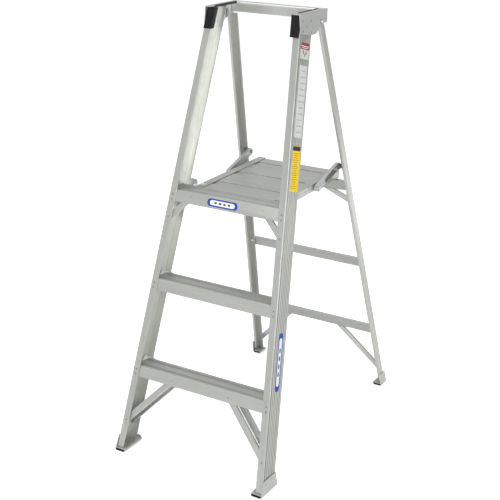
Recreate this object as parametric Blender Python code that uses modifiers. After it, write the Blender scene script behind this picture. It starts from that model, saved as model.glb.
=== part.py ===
"""An aluminium platform step ladder with two steps, a folding platform and a guard rail.

Metres, +Z up. X runs to the user's right, Y from the climbing side to the back, and Z = 0 is the
floor. The origin is on the floor in the middle of the base. Sizes are in inches, as such ladders
are designed, and become metres where a mesh is made or placed. Y is counted from the feet of the
front rails' front faces, and the root empty then moves everything forward to the origin.
"""

from math import cos, pi, radians, sin, sqrt

import bmesh
import bpy
from mathutils import Matrix, Vector

INCH = 0.0254
GAP = 0.02  # between a piece and the piece that it rests on or turns on
BUTT = 0.03  # between the ends of two pieces
BASE_MIDDLE = 19.1  # from the front rails' feet back to the middle of the base
OVERRUN = 8.0  # how far a sweep runs past the planes that cut its ends off

# Rails. Both pairs lean in towards the top, the front pair leans back and the rear pair forward.
STEP_RISE = 12.0
FRONT_HALF_WIDTH = 11.892
FRONT_LEAN_IN = 0.0811
FRONT_LEAN_BACK = 3.5 / 12
FRONT_DEPTH = 3.0
FRONT_FLANGE = 1.0
FRONT_TOP = 59.5
REAR_HALF_WIDTH = 11.614
REAR_LEAN_IN = 0.0767
REAR_FOOT_Y = 36.99
REAR_LEAN_BACK = -0.2558
REAR_DEPTH = 1.15
REAR_FLANGE = 1.02
REAR_LIP = 0.35
REAR_SWEEP = 62.0  # along a rear rail, before its upper end is cut to shape
REAR_END_RADIUS = 0.62
RAIL_WALL = 0.10
RAIL_FOOT = 0.42

# Steps. Offsets are horizontal, behind the front rails' front face.
STEP_FRONT = 0.15
STEP_BACK = 3.0
STEP_SKIRT = 1.55
STEP_WALL = 0.12
SKIRT_WALL = 0.09
NOSE_RADIUS = 0.18
TRACTION_BANDS = (0.72, 2.13)
BAND_WIDTH = 0.42
BAND_DEPTH = 0.06
BAND_GROOVES = 4

# Braces. A section is a width and a depth, and a centre line runs from its lower end to its
# upper end as (|x|, z). The offset is square to the front rails' front or back face.
BRACE_OFFSET = 0.26
BRACE_WALL = 0.08
STEP_BRACE_SECTION = (0.85, 0.45)
STEP_BRACE_LINE = ((11.05, 4.35), (4.6, 11.1))
KNEE_BRACE_SECTION = (0.8, 0.35)
KNEE_BRACE_LINE = ((8.6, 32.45), (5.6, 35.4))
REAR_BRACE_SECTION = (0.75, 0.40)
REAR_BRACE_LINES = {
    "top": ((7.9, 31.9), (5.2, 33.2)),
    "bottom": ((10.1, 3.1), (4.5, 9.0)),
}
REAR_BRACE_INSET = 0.35  # of its outer end from the rear rail's web

# Rear bars, by the heights of their lower and upper edges.
REAR_BARS = {"top": (33.30, 34.75), "middle": (20.80, 22.10), "bottom": (8.95, 10.35)}
REAR_BAR_DEPTH = 0.45
REAR_BAR_INSET = 0.45  # of its ends from the rear rails' webs

# Platform: three planks held between two side beams.
PLATFORM_TOP = 36.0
PLATFORM_FRONT = 13.56
PLATFORM_BACK = 29.95
PLANK_PITCH = 5.5
PLANK_BACK_JOINT = 18.95
PLANK_HALF_LENGTH = 6.45
PLANK_BOTTOM = 35.14
RECESS_WIDTH = 1.6
RECESS_DEPTH = 0.12
BEAM_HALF_WIDTH = 6.72
BEAM_WALL = 0.10
BEAM_BOTTOM = 35.0
BEAM_TOP_FLANGE = 1.2
BEAM_BOTTOM_FLANGE = 1.0

PLATFORM_BRACKET_LOW = 34.95
PLATFORM_BRACKET_HIGH = 36.85
PLATFORM_BRACKET_WALL = 0.09
PLATFORM_BRACKET_INSET = 1.175  # of the ear's middle from the front rail's web
PLATFORM_EAR_RADIUS = 0.75

# Joint axes, all along X, as (Y, Z).
REAR_FOLD = (22.45, 58.25)
PLATFORM_FOLD = (14.30, 35.65)
SPREADER_LOWER = (22.50, 35.55)
SPREADER_UPPER = (28.15, 37.25)

# Pins and bolts: each section's radius and the |x| of its outer end, and then the inner end.
PIN_RADIUS = 0.15
HOLE_RADIUS = PIN_RADIUS + GAP
PLATFORM_PIN = [
    (0.26, 8.08),
    (PIN_RADIUS, 7.93),
    (0.26, 7.70),
    (PIN_RADIUS, BEAM_HALF_WIDTH + 0.04),
    (0.20, 6.58),
    (0, 6.47),
]
REAR_HINGE_BOLT = [(0.24, 7.50), (0.30, 7.43), (PIN_RADIUS, 7.33), (0.20, 6.98), (0, 6.80)]
SPREADER_PIN = [(0.20, 7.75), (PIN_RADIUS, 7.61), (0.22, 6.93), (0, 6.83)]
SPREADER_BOLT = [(0.22, 7.60), (PIN_RADIUS, 7.48), (0, BEAM_HALF_WIDTH + 0.05)]

# Spreader arms.
ARM_INNER = 6.95
ARM_OUTER = 7.45
ARM_WIDTH = 1.0
ARM_WALL = 0.09
ARM_POCKET = (0.85, 2.2)  # from the upper pin to the pocket, and from the pocket to the bolt
SPREADER_BRACKET_WALL = 0.08
SPREADER_BRACKET_RADIUS = 0.45

# Guard rail.
GUARD_TOP_FRONT = 59.86
GUARD_TOP_BACK = 59.69
GUARD_FRONT = 16.80
GUARD_BACK = 24.27
GUARD_WALL = 0.09
GUARD_FLANGE = 0.9
GUARD_LOWER_EDGE = [
    (16.80, 57.42),
    (19.67, 56.89),
    (20.89, 56.91),
    (21.45, 57.31),
    (23.07, 58.00),
    (23.89, 57.91),
]
GUARD_BAR_FRONT = 23.20
GUARD_BAR_BOTTOM = 58.30

# End caps. The section is measured from the front rail's outer front corner.
CAP_BOTTOM = 57.0
CAP_TOP = 59.66
CAP_OUTER = 0.07
CAP_INNER = 1.35
CAP_FRONT = -0.28
CAP_BACK = 0.40
CAP_SLOT_WEB = 0.6  # where the slot for the flange opens for the rail's web

# Feet.
FOOT_WALL = 0.10
FOOT_PLATE_BOTTOM = 0.28
FOOT_PLATE_TOP = 0.38
FOOT_LIP_BOTTOM = 0.08
FOOT_SIDE_TOP = 2.0
PAD_TOP = 0.26
PAD_ROUND = 0.04
FRONT_FOOT_INNER = 10.35
FRONT_FOOT_ENDS = (-0.28, 3.9)
FRONT_TOE_LEAN = 0.44
FRONT_HEEL_LEAN = 0.1
REAR_FOOT_INNER = 10.30
REAR_FOOT_ENDS = (36.62, 38.55)
FRONT_PAD = (10.47, 11.85, -0.33, 3.85)  # inner and outer |x|, front and back
REAR_PAD = (10.44, 11.56, 36.52, 38.50)

SIDES = {"left": -1, "right": 1}
AXIS_X = Vector((1, 0, 0))
AXIS_Y = Vector((0, 1, 0))
AXIS_Z = Vector((0, 0, 1))

ALUMINIUM = ((0.70, 0.71, 0.69), 0.9, 0.38)
BRIGHT_ALUMINIUM = ((0.80, 0.81, 0.79), 0.9, 0.32)
ZINC = ((0.62, 0.65, 0.70), 1.0, 0.30)
DARK_STEEL = ((0.20, 0.20, 0.20), 0.9, 0.45)
BLACK_PLASTIC = ((0.012, 0.012, 0.012), 0.0, 0.45)


class Rail:
    """One rail's frame: across is along +X and square to the web, along runs up the rail."""

    def __init__(self, side, half_width, lean_in, foot_y, lean_back):
        self.side = side
        self.half_width = half_width
        self.lean_in = lean_in
        self.foot_y = foot_y
        self.lean_back = lean_back
        self.origin = Vector((side * half_width, foot_y, 0))
        self.across = Vector((1, 0, side * lean_in)).normalized()
        self.along = Vector((-side * lean_in, lean_back, 1)).normalized()
        self.deep = self.along.cross(self.across)

    def half(self, z):
        """Half the width over the webs at a height."""
        return self.half_width - self.lean_in * z

    def section(self):
        """Frame with the outline across and deep, for sweeps along the rail."""
        return frame(self.origin, self.across, self.deep)

    def web(self):
        """Frame with the outline along Y and up the web, for plates parallel to the web."""
        up = Vector((-self.side * self.lean_in, 0, 1)).normalized()
        return frame(Vector((self.side * self.half_width, 0, 0)), AXIS_Y, up)

    def web_cut(self, inset):
        """Plane parallel to the web that keeps what is nearer to the ladder's middle."""
        outwards = self.side * self.across
        return self.origin - inset * outwards, outwards


class Slope:
    """The plane of a pair of rails' front faces."""

    def __init__(self, foot_y, lean_back):
        self.foot_y = foot_y
        self.lean_back = lean_back
        self.up = Vector((0, lean_back, 1)).normalized()
        self.deep = self.up.cross(AXIS_X)

    def at(self, x, z, depth):
        """The point at this height that lies this far behind the plane, square to it."""
        return Vector((x, self.foot_y + self.lean_back * z + depth / self.deep.y, z))


FRONT = {
    name: Rail(side, FRONT_HALF_WIDTH, FRONT_LEAN_IN, 0.0, FRONT_LEAN_BACK)
    for name, side in SIDES.items()
}
REAR = {
    name: Rail(side, REAR_HALF_WIDTH, REAR_LEAN_IN, REAR_FOOT_Y, REAR_LEAN_BACK)
    for name, side in SIDES.items()
}
FRONT_SLOPE = Slope(0.0, FRONT_LEAN_BACK)
REAR_SLOPE = Slope(REAR_FOOT_Y, REAR_LEAN_BACK)


# ---------------------------------------------------------------- shared helpers


def clear_scene():
    for obj in list(bpy.data.objects):
        bpy.data.objects.remove(obj, do_unlink=True)


def new_collection(name):
    collection = bpy.data.collections.new(name)
    bpy.context.scene.collection.children.link(collection)
    return collection


def material(name, finish):
    colour, metallic, roughness = finish
    made = bpy.data.materials.new(name)
    made.use_nodes = True
    shader = made.node_tree.nodes["Principled BSDF"]
    shader.inputs["Base Color"].default_value = (*colour, 1)
    shader.inputs["Metallic"].default_value = metallic
    shader.inputs["Roughness"].default_value = roughness
    made.diffuse_color = (*colour, 1)
    return made


def pivot(name, location, parent=None):
    """An empty on a joint's axis, which carries the pieces that turn about it."""
    empty = bpy.data.objects.new(name, None)
    empty.empty_display_size = 2 * INCH
    empty.location = Vector(location) * INCH - pivot_place(parent)
    empty.parent = parent or ROOT
    PARTS.objects.link(empty)
    return empty


def pivot_place(empty):
    place = Vector()
    while empty and empty != ROOT:
        place += empty.location
        empty = empty.parent
    return place


def frame(origin, first, second):
    """Matrix in inches whose first two axes carry an outline and whose third carries its sweep."""
    third = first.cross(second)
    return Matrix.Translation(origin) @ Matrix((first, second, third)).transposed().to_4x4()


def show(name, mesh, place, parent, finish):
    """Puts a mesh into the parts collection at a place given in inches, under its pivot."""
    obj = bpy.data.objects.new(name, mesh)
    mesh.materials.append(material(name, finish))
    mesh.shade_smooth()
    mesh.set_sharp_from_angle(angle=radians(32))
    place = Matrix.Translation(place.translation * INCH) @ place.to_3x3().to_4x4()
    obj.parent = parent
    obj.matrix_basis = Matrix.Translation(-pivot_place(parent)) @ place
    PARTS.objects.link(obj)
    return obj


def cut(bm, place, cuts):
    """Cuts a mesh off beyond each plane, given in the ladder's frame, and closes the cut."""
    to_local = place.inverted()
    for point, normal in cuts:
        bmesh.ops.bisect_plane(
            bm,
            geom=bm.verts[:] + bm.edges[:] + bm.faces[:],
            plane_co=to_local @ point * INCH,
            plane_no=to_local.to_3x3() @ normal,
            clear_outer=True,
        )
        rim = [edge for edge in bm.edges if edge.is_boundary]
        bmesh.ops.holes_fill(bm, edges=rim, sides=0)


def swept_mesh(name, outlines, place, start, end, cuts):
    curve = bpy.data.curves.new(name, "CURVE")
    curve.dimensions = "2D"
    curve.fill_mode = "BOTH"
    curve.extrude = (end - start) / 2 * INCH
    for outline in outlines:
        spline = curve.splines.new("POLY")
        spline.points.add(len(outline) - 1)
        for point, (x, y) in zip(spline.points, outline):
            point.co = (x * INCH, y * INCH, 0, 1)
        spline.use_cyclic_u = True
    drawn = bpy.data.objects.new(name, curve)
    mesh = bpy.data.meshes.new_from_object(drawn)
    bpy.data.objects.remove(drawn)
    bpy.data.curves.remove(curve)
    bm = bmesh.new()
    bm.from_mesh(mesh)
    bmesh.ops.remove_doubles(bm, verts=bm.verts, dist=1e-5)
    bmesh.ops.translate(bm, verts=bm.verts, vec=(0, 0, (start + end) / 2 * INCH))
    cut(bm, place, cuts)
    bmesh.ops.recalc_face_normals(bm, faces=bm.faces)
    bm.to_mesh(mesh)
    bm.free()
    mesh.name = name
    return mesh


def sweep(name, outlines, place, start, end, parent, finish=ALUMINIUM, cuts=()):
    """A piece of constant section: an outline, with any holes, swept along its frame's third axis."""
    mesh = swept_mesh(name, outlines, place, start, end, cuts)
    return show(name, mesh, place, parent, finish)


def turned(name, profile, yz, side, parent, finish=ZINC):
    """A pin or bolt along X: its sections as (radius, outer |x|), and its inner end last."""
    outline = [(0, profile[0][1])]
    for (radius, outer), (_, inner) in zip(profile, profile[1:]):
        outline += [(radius, outer), (radius, inner)]
    outline.append(profile[-1])
    mesh = bpy.data.meshes.new(name)
    points = [(radius * INCH, 0, x * INCH) for radius, x in outline]
    mesh.from_pydata(points, [(i, i + 1) for i in range(len(points) - 1)], [])
    place = frame(Vector((0, *yz)), -side * AXIS_Z, AXIS_Y)
    obj = show(name, mesh, place, parent, finish)
    screw = obj.modifiers.new("turn", "SCREW")
    screw.axis = "Z"
    screw.steps = 24
    screw.render_steps = 24
    screw.use_merge_vertices = True
    screw.merge_threshold = 1e-5
    screw.use_smooth_shade = False
    return obj


def boolean(target, other, operation):
    """Joins a helper to a piece or cuts it out, and hides the helper."""
    for collection in list(other.users_collection):
        collection.objects.unlink(other)
    CUTTERS.objects.link(other)
    other.hide_render = True
    other.display_type = "WIRE"
    modifier = target.modifiers.new(other.name, "BOOLEAN")
    modifier.object = other
    modifier.operation = operation
    modifier.solver = "EXACT"


def drill(target, yz, x):
    """A pin's hole along X through a wall near x."""
    bpy.ops.mesh.primitive_cylinder_add(vertices=24, radius=HOLE_RADIUS * INCH, depth=INCH / 2)
    hole = bpy.context.object
    hole.name = target.name + "_hole"
    place = frame(Vector((x, *yz)), -AXIS_Z, AXIS_Y)
    place.translation *= INCH
    hole.parent = target.parent
    hole.matrix_basis = Matrix.Translation(-pivot_place(target.parent)) @ place
    boolean(target, hole, "DIFFERENCE")


def rounded(outline, radii, segments=4):
    """The outline with an arc at each corner that radii gives one, by its place in the list."""
    result = []
    for i, corner in enumerate(outline):
        if i not in radii:
            result.append(corner)
            continue
        here = Vector(corner)
        before = (Vector(outline[i - 1]) - here).normalized()
        after = (Vector(outline[(i + 1) % len(outline)]) - here).normalized()
        half_angle = before.angle(after) / 2
        reach = radii[i] / sin(half_angle)
        centre = here + (before + after).normalized() * reach
        start = here + before * (radii[i] / sin(half_angle) * cos(half_angle)) - centre
        turn = (pi - 2 * half_angle) * (1 if before.cross(after) < 0 else -1)
        for step in range(segments + 1):
            angle = turn * step / segments
            spoke = Matrix.Rotation(angle, 2) @ start
            result.append(tuple(centre + spoke))
    return result


def pin_hole(centre):
    """The outline of the hole that a pin or bolt goes through."""
    return arc(centre, HOLE_RADIUS, 0, 360, 24)[:-1]


def arc(centre, radius, start, end, segments=10):
    """Points along an arc, with its ends in degrees."""
    angles = [radians(start + (end - start) * i / segments) for i in range(segments + 1)]
    return [(centre[0] + radius * cos(a), centre[1] + radius * sin(a)) for a in angles]


def channel(depth, flange, wall, far_flange=None):
    """A channel's outline: its web from (0, 0) to (0, depth), its flanges towards +first."""
    far_flange = far_flange or flange
    outline = [
        (0, 0),
        (flange, 0),
        (flange, wall),
        (wall, wall),
        (wall, depth - wall),
        (far_flange, depth - wall),
        (far_flange, depth),
        (0, depth),
    ]
    return rounded(outline, {0: 0.8 * wall, 7: 0.8 * wall}, 3)


def mirrored(outline, side):
    """The outline with its first coordinate turned towards the ladder's middle."""
    return [(-side * x, y) for x, y in outline]


# ---------------------------------------------------------------- front frame


def front_rail(name, rail):
    sweep(
        f"front_rail_{name}",
        [mirrored(channel(FRONT_DEPTH, FRONT_FLANGE, RAIL_WALL), rail.side)],
        rail.section(),
        -OVERRUN,
        FRONT_TOP + OVERRUN,
        FRONT_FRAME,
        cuts=[
            (AXIS_Z * RAIL_FOOT, -AXIS_Z),
            (AXIS_Z * FRONT_TOP, AXIS_Z),
        ],
    )


def traction_band(start, top):
    """Grooves across a tread, from the front of the band to its back."""
    pitch = BAND_WIDTH / (2 * BAND_GROOVES - 1)
    points = []
    for groove in range(BAND_GROOVES):
        y = start + 2 * groove * pitch
        points += [(y, top), (y, top - BAND_DEPTH), (y + pitch, top - BAND_DEPTH), (y + pitch, top)]
    return points


def step_outline(top):
    """A tread with a skirt in front and behind, both parallel to the rails, as (y, z)."""
    bottom = top - STEP_SKIRT
    under = top - STEP_WALL

    def at(offset, z):
        return (FRONT_LEAN_BACK * z + offset, z)

    bands = []
    for centre in TRACTION_BANDS:
        bands += traction_band(at(centre, top)[0] - BAND_WIDTH / 2, top)
    outline = [
        at(STEP_FRONT, bottom),
        at(STEP_FRONT, top),
        *bands,
        at(STEP_BACK, top),
        at(STEP_BACK, bottom),
        at(STEP_BACK - SKIRT_WALL, bottom),
        at(STEP_BACK - SKIRT_WALL, under),
        at(STEP_FRONT + SKIRT_WALL, under),
        at(STEP_FRONT + SKIRT_WALL, bottom),
    ]
    back_corner = 2 + len(bands)
    return rounded(outline, {1: NOSE_RADIUS, back_corner: NOSE_RADIUS})


def step(name, top):
    place = frame(Vector(), AXIS_Y, AXIS_Z)
    reach = FRONT_HALF_WIDTH
    cuts = [rail.web_cut(RAIL_WALL + BUTT) for rail in FRONT.values()]
    sweep(name, [step_outline(top)], place, -reach, reach, FRONT_FRAME, BRIGHT_ALUMINIUM, cuts)


def strut(name, slope, start, end, depth, section, parent, cuts):
    """A brace in a plane parallel to a slope: start and end are (x, z) on its centre line."""
    low = slope.at(*start, depth)
    high = slope.at(*end, depth)
    along = (high - low).normalized()
    place = frame(low, slope.deep, along.cross(slope.deep))
    length = (high - low).length
    sweep(name, [section], place, -OVERRUN, length + OVERRUN, parent, cuts=cuts)


def brace_section(width, depth, opens):
    """A channel for a brace, whose open side faces back (1) or front (-1)."""
    return [(opens * x, y - width / 2) for x, y in channel(width, depth, BRACE_WALL)]


def step_braces(name, rail):
    cuts = [
        rail.web_cut(RAIL_WALL + BUTT),
        (AXIS_Z * (STEP_RISE - STEP_WALL - BUTT), AXIS_Z),
    ]
    line = [(rail.side * x, z) for x, z in STEP_BRACE_LINE]
    section = brace_section(*STEP_BRACE_SECTION, 1)
    depth = BRACE_OFFSET
    strut(f"step_brace_front_{name}", FRONT_SLOPE, *line, depth, section, FRONT_FRAME, cuts)
    drop = FRONT_LEAN_BACK * (FRONT_DEPTH - 2 * BRACE_OFFSET)
    line = [(x, z - drop) for x, z in line]
    section = brace_section(*STEP_BRACE_SECTION, -1)
    depth = FRONT_DEPTH - BRACE_OFFSET
    strut(f"step_brace_back_{name}", FRONT_SLOPE, *line, depth, section, FRONT_FRAME, cuts)


def knee_brace(name, rail):
    cuts = [
        rail.web_cut(RAIL_WALL + BUTT),
        (AXIS_Z * (PLATFORM_TOP - STEP_WALL - BUTT), AXIS_Z),
    ]
    line = [(rail.side * x, z) for x, z in KNEE_BRACE_LINE]
    section = brace_section(*KNEE_BRACE_SECTION, 1)
    depth = BRACE_OFFSET
    strut(f"knee_brace_{name}", FRONT_SLOPE, *line, depth, section, FRONT_FRAME, cuts)


def guard_plate(name, rail):
    """A plate outside the front rail's top that carries the rear hinge, its top edge folded in."""
    side = rail.side
    place = rail.web()
    up = sqrt(1 + FRONT_LEAN_IN**2)
    outline = [
        (GUARD_FRONT, GUARD_TOP_FRONT),
        *GUARD_LOWER_EDGE,
        (GUARD_BACK, GUARD_TOP_BACK),
    ]
    outline = rounded(outline, {1: 0.3, 2: 0.6, 3: 0.5, 5: 0.6, 6: 0.3})
    outlines = [[(y, z * up) for y, z in line] for line in (outline, pin_hole(REAR_FOLD))]
    faces = sorted((side * GAP, side * (GAP + GUARD_WALL)))
    plate = sweep(f"guard_plate_{name}", outlines, place, *faces, FRONT_FRAME, BRIGHT_ALUMINIUM)

    fall = (GUARD_TOP_FRONT - GUARD_TOP_BACK) / (GUARD_BACK - GUARD_FRONT)
    back = GUARD_BAR_FRONT - BUTT
    top_back = GUARD_TOP_FRONT - fall * (back - GUARD_FRONT)
    inset = 0.01  # of the fold's faces from the plate's edges
    fold_outline = [
        (GUARD_FRONT + inset, GUARD_TOP_FRONT - inset),
        (GUARD_FRONT + inset, GUARD_TOP_FRONT - GUARD_WALL),
        (back, top_back - GUARD_WALL),
        (back, top_back - inset),
    ]
    outer = rail.half(GUARD_TOP_FRONT) + GAP + GUARD_WALL / 2
    inner = outer - GUARD_FLANGE
    fold = sweep(
        f"guard_fold_{name}",
        [fold_outline],
        frame(Vector(), AXIS_Y, AXIS_Z),
        *sorted((side * inner, side * outer)),
        FRONT_FRAME,
    )
    boolean(plate, fold, "UNION")


def guard_bar():
    """The bar across the back of the guard rail: a channel that opens to the back."""
    depth = GUARD_BACK - GUARD_BAR_FRONT
    height = GUARD_TOP_BACK - GUARD_BAR_BOTTOM
    outline = [
        (0, 0),
        (depth, 0),
        (depth, GUARD_WALL),
        (GUARD_WALL, GUARD_WALL),
        (GUARD_WALL, height - GUARD_WALL),
        (depth, height - GUARD_WALL),
        (depth, height),
        (0, height),
    ]
    outline = rounded(outline, {0: 0.12, 4: 0.26, 7: 0.35}, 6)
    place = frame(Vector((0, GUARD_BAR_FRONT, GUARD_BAR_BOTTOM)), AXIS_Y, AXIS_Z)
    reach = FRONT_HALF_WIDTH
    cuts = [rail.web_cut(BUTT - GAP) for rail in FRONT.values()]
    sweep("guard_bar", [outline], place, -reach, reach, FRONT_FRAME, BRIGHT_ALUMINIUM, cuts)


def end_cap(name, rail):
    """A plastic cap over the front flange's upper end, slotted for the flange."""
    block = [
        (CAP_OUTER, CAP_FRONT),
        (CAP_INNER, CAP_FRONT),
        (CAP_INNER, CAP_BACK),
        (CAP_OUTER, CAP_BACK),
    ]
    block = rounded(block, {0: 0.06, 1: 0.10, 2: 0.10})
    place = rail.section()
    ends = (CAP_BOTTOM - OVERRUN, CAP_TOP + OVERRUN)
    cap = sweep(
        f"end_cap_{name}",
        [mirrored(block, rail.side)],
        place,
        *ends,
        FRONT_FRAME,
        BLACK_PLASTIC,
        cuts=[(AXIS_Z * CAP_BOTTOM, -AXIS_Z), (AXIS_Z * CAP_TOP, AXIS_Z)],
    )
    flange_end = FRONT_FLANGE + BUTT
    clear = RAIL_WALL + GAP
    outside = CAP_OUTER - 0.5
    behind = CAP_BACK + 0.5
    slot = [
        (outside, -GAP),
        (flange_end, -GAP),
        (flange_end, clear),
        (CAP_SLOT_WEB, clear),
        (CAP_SLOT_WEB, behind),
        (outside, behind),
    ]
    cutter = sweep(
        f"cap_slot_{name}",
        [mirrored(slot, rail.side)],
        place,
        *ends,
        FRONT_FRAME,
        cuts=[(AXIS_Z * (FRONT_TOP + GAP), AXIS_Z)],
    )
    boolean(cap, cutter, "DIFFERENCE")


def foot(name, rail, inner, cuts, parent):
    """A shoe round a rail's end: a side plate outside the web, a foot plate and an inner lip."""
    side = rail.side

    def web(z):
        return rail.half(z) + GAP

    outline = [
        (FOOT_LIP_BOTTOM, web(FOOT_LIP_BOTTOM) + FOOT_WALL),
        (FOOT_SIDE_TOP, web(FOOT_SIDE_TOP) + FOOT_WALL),
        (FOOT_SIDE_TOP, web(FOOT_SIDE_TOP)),
        (FOOT_PLATE_TOP, web(FOOT_PLATE_TOP)),
        (FOOT_PLATE_TOP, inner),
        (FOOT_LIP_BOTTOM, inner),
        (FOOT_LIP_BOTTOM, inner + FOOT_WALL),
        (FOOT_PLATE_BOTTOM, inner + FOOT_WALL),
        (FOOT_PLATE_BOTTOM, web(FOOT_PLATE_BOTTOM)),
        (FOOT_LIP_BOTTOM, web(FOOT_LIP_BOTTOM)),
    ]
    place = frame(Vector(), AXIS_Z, AXIS_X)
    outline = [(z, side * x) for z, x in outline]
    ends = (-OVERRUN, REAR_FOOT_Y + OVERRUN)
    sweep(name, [outline], place, *ends, parent, BRIGHT_ALUMINIUM, cuts)


def pad(name, side, inner, outer, front, back, parent):
    """A ribbed rubber pad under a foot plate."""
    bpy.ops.mesh.primitive_cube_add(size=1)
    cube = bpy.context.object
    mesh = cube.data
    bpy.data.objects.remove(cube)
    size = Vector((outer - inner, back - front, PAD_TOP)) * INCH
    bm = bmesh.new()
    bm.from_mesh(mesh)
    bmesh.ops.scale(bm, verts=bm.verts, vec=size)
    bmesh.ops.bevel(bm, geom=bm.edges[:], offset=PAD_ROUND * INCH, segments=2, affect="EDGES")
    bm.to_mesh(mesh)
    bm.free()
    centre = Vector((side * (inner + outer) / 2, (front + back) / 2, PAD_TOP / 2))
    show(name, mesh, Matrix.Translation(centre), parent, BLACK_PLASTIC)


def front_foot(name, rail):
    toe, heel = FRONT_FOOT_ENDS
    cuts = [
        (Vector((0, toe, FOOT_LIP_BOTTOM)), Vector((0, -1, FRONT_TOE_LEAN))),
        (Vector((0, heel, 0)), Vector((0, 1, FRONT_HEEL_LEAN))),
    ]
    foot(f"front_foot_{name}", rail, FRONT_FOOT_INNER, cuts, FRONT_FRAME)
    pad(f"front_pad_{name}", rail.side, *FRONT_PAD, FRONT_FRAME)


def platform_bracket(name, rail):
    """A plate behind the front rail's back flange with an ear that holds the platform's pin."""
    side = rail.side
    place = rail.web()
    up = sqrt(1 + FRONT_LEAN_IN**2)
    back_face = FRONT_DEPTH + GAP
    wall = PLATFORM_BRACKET_WALL
    low, high = PLATFORM_BRACKET_LOW, PLATFORM_BRACKET_HIGH

    def behind(z):
        return FRONT_SLOPE.at(0, z, back_face + 0.01).y

    ear_centre = (PLATFORM_FOLD[0] + 0.25, PLATFORM_FOLD[1] + 0.1)
    outline = [
        (behind(low), low),
        *arc(ear_centre, PLATFORM_EAR_RADIUS, -80, 80, 12),
        (behind(high), high),
    ]
    inset = PLATFORM_BRACKET_INSET
    rise = inset * FRONT_LEAN_IN
    lines = (outline, pin_hole(PLATFORM_FOLD))
    outlines = [[(y, (z + rise) * up) for y, z in line] for line in lines]
    ear_faces = sorted((-side * (inset - wall / 2), -side * (inset + wall / 2)))
    ear = sweep(f"platform_bracket_{name}", outlines, place, *ear_faces, FRONT_FRAME, ZINC)
    plate_edge = 0.25
    plate_outline = [
        (plate_edge, back_face),
        (inset + wall / 4, back_face),
        (inset + wall / 4, back_face + wall),
        (plate_edge, back_face + wall),
    ]
    margin = 0.1  # between the plate's ends and the ear's
    plate = sweep(
        f"bracket_plate_{name}",
        [mirrored(plate_outline, side)],
        rail.section(),
        low - OVERRUN,
        high + OVERRUN,
        FRONT_FRAME,
        cuts=[(AXIS_Z * (low + margin), -AXIS_Z), (AXIS_Z * (high - margin), AXIS_Z)],
    )
    boolean(ear, plate, "UNION")


# ---------------------------------------------------------------- rear frame


def rear_rail(name, rail):
    """A rear rail, its upper end cut to a half round about the hinge bolt."""
    side = rail.side
    outline = mirrored(channel(REAR_DEPTH, REAR_LIP, RAIL_WALL, REAR_FLANGE), side)
    piece = sweep(
        f"rear_rail_{name}",
        [outline],
        rail.section(),
        -OVERRUN,
        REAR_SWEEP,
        REAR_PIVOT,
        cuts=[(AXIS_Z * RAIL_FOOT, -AXIS_Z)],
    )
    hinge = Vector(REAR_FOLD)
    lean = Vector((REAR_LEAN_BACK, 1)).normalized()
    back = Vector((lean.y, -lean.x))
    radius = REAR_END_RADIUS
    reach, above = 2.0, 4.0
    web_start, flange_start = -0.1, -0.3
    shape = [
        (-reach, web_start),
        (-radius, web_start),
        *arc((0, 0), radius, 180, 0, 16)[1:],
        (radius, flange_start),
        (reach, flange_start),
        (reach, above),
        (-reach, above),
    ]
    shape = [tuple(hinge + back * x + lean * y) for x, y in shape]
    cutter = sweep(
        f"rear_rail_end_{name}",
        [shape],
        frame(Vector(), AXIS_Y, AXIS_Z),
        *sorted((side * 5, side * 9)),
        REAR_PIVOT,
    )
    boolean(piece, cutter, "DIFFERENCE")
    drill(piece, REAR_FOLD, side * (rail.half(REAR_FOLD[1]) - RAIL_WALL / 2))


def rear_bar(name, low, high):
    """A channel across the back of both rear rails, its web against their flanges."""
    reach = REAR_HALF_WIDTH
    start = REAR_SLOPE.at(0, low, REAR_DEPTH + GAP)
    height = (high - low) / REAR_SLOPE.up.z
    outline = channel(height, REAR_BAR_DEPTH, BRACE_WALL)
    place = frame(start, REAR_SLOPE.deep, REAR_SLOPE.up)
    cuts = [rail.web_cut(REAR_BAR_INSET) for rail in REAR.values()]
    sweep(f"rear_bar_{name}", [outline], place, -reach, reach, REAR_PIVOT, cuts=cuts)


def rear_brace(bar_name, name, rail):
    """A brace from under a rear bar out to the rail's flange."""
    depth = REAR_DEPTH + GAP
    bar = REAR_SLOPE.at(0, REAR_BARS[bar_name][0], depth)
    cuts = [rail.web_cut(REAR_BRACE_INSET), (bar - BUTT * REAR_SLOPE.up, REAR_SLOPE.up)]
    section = brace_section(*REAR_BRACE_SECTION, 1)
    line = [(rail.side * x, z) for x, z in REAR_BRACE_LINES[bar_name]]
    full_name = f"rear_brace_{bar_name}_{name}"
    strut(full_name, REAR_SLOPE, *line, depth, section, REAR_PIVOT, cuts)


def rear_foot(name, rail):
    lean = Vector((0, 1, -REAR_LEAN_BACK))
    front, back = (Vector((0, y, 0)) for y in REAR_FOOT_ENDS)
    cuts = [(front, -lean), (back, lean)]
    foot(f"rear_foot_{name}", rail, REAR_FOOT_INNER, cuts, REAR_PIVOT)
    pad(f"rear_pad_{name}", rail.side, *REAR_PAD, REAR_PIVOT)


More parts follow.
